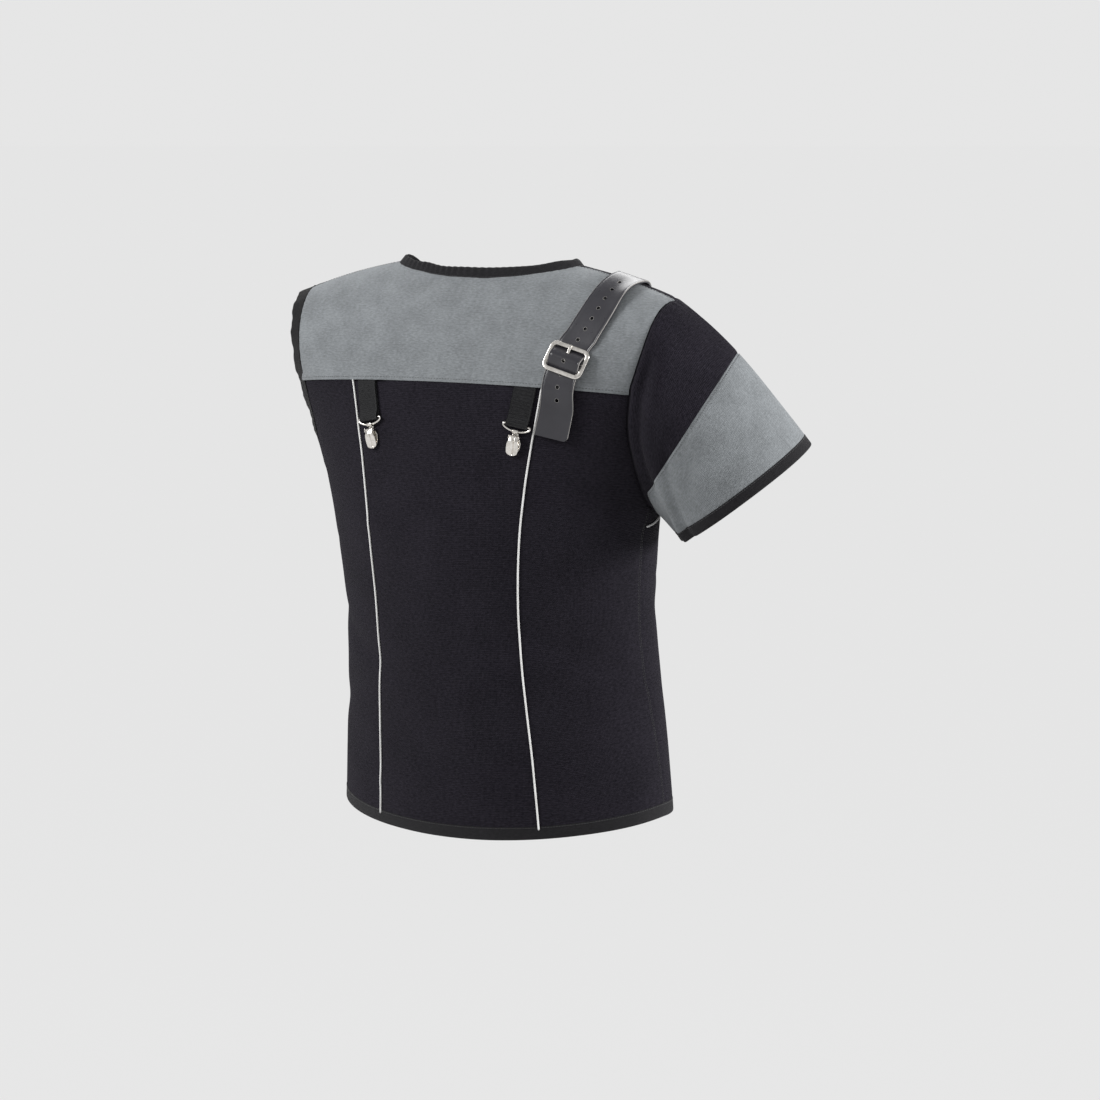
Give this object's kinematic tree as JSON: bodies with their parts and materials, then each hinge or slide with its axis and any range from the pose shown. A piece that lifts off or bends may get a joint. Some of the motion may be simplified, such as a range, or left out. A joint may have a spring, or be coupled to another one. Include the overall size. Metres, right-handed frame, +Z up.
{
  "type": "one-sleeved shooting jacket",
  "caption": "Stiff canvas shooting jacket with one short sleeve, a grey yoke, piped seams, a buckled leather sling strap over the shoulder and hanging spring clips.",
  "frame": {"origin": "midway between the two neck points of the shoulder seams, where the wearer's shoulders carry the jacket", "axes": "+Z up, +Y to the back of the jacket, +X to the wearer's left; the sleeve is on the wearer's right, -X"},
  "size_m": [0.6224, 0.2873, 0.6554],
  "materials": {
    "black_canvas": "heavy black canvas with a fine cross rib",
    "grey_canvas": "brushed grey canvas, matt",
    "black_binding": "folded black tape",
    "elastic_binding": "puckered black elastic tape",
    "white_piping": "covered cord, satin",
    "webbing": "ribbed black webbing",
    "strap_leather": "smooth black leather with raw edges",
    "nickel": "bright nickel plate",
    "button_black": "plain black plastic"
  },
  "bodies": {
    "jacket": {"back_centre": "black_canvas", "back_side_left": "black_canvas", "back_side_right": "black_canvas", "back_yoke": "grey_canvas", "left_front": "black_canvas", "right_front_chest": "black_canvas", "right_front_lower": "black_canvas", "piping_back_left": "white_piping", "piping_back_right": "white_piping", "piping_front_right": "white_piping", "hem_binding": "black_binding", "neck_binding": "black_binding", "armhole_binding": "elastic_binding", "sleeve_upper": "black_canvas", "sleeve_lower": "grey_canvas", "sleeve_binding": "black_binding", "loop_left": "webbing", "loop_right": "webbing", "sling_strap": "strap_leather", "buckle_tab": "strap_leather", "buckle_frame": "nickel", "buckle_prong": "nickel", "button_1": "button_black", "button_2": "button_black", "button_3": "button_black", "button_4": "button_black", "button_5": "button_black"},
    "clip_left": {"ring_left": "nickel", "clip_body_left": "nickel"},
    "lever_left": {"clip_lever_left": "nickel"},
    "clip_right": {"ring_right": "nickel", "clip_body_right": "nickel"},
    "lever_right": {"clip_lever_right": "nickel"}
  },
  "joints": [
    {"name": "clip_swing_left", "type": "hinge", "parent": "jacket", "child": "clip_left", "pos_m": [0.09539, 0.10627, -0.17239], "axis": [0.9726, -0.1575, -0.1711], "range_deg": [0, 110]},
    {"name": "lever_open_left", "type": "hinge", "parent": "clip_left", "child": "lever_left", "pos_m": [0.09344, 0.10898, -0.18594], "axis": [0.9726, -0.1575, -0.1711], "range_deg": [0, 70]},
    {"name": "clip_swing_right", "type": "hinge", "parent": "jacket", "child": "clip_right", "pos_m": [-0.09759, 0.10583, -0.17227], "axis": [0.968, 0.1617, 0.1921], "range_deg": [0, 110]},
    {"name": "lever_open_right", "type": "hinge", "parent": "clip_right", "child": "lever_right", "pos_m": [-0.09537, 0.10855, -0.18577], "axis": [0.968, 0.1617, 0.1921], "range_deg": [0, 70]}
  ]
}
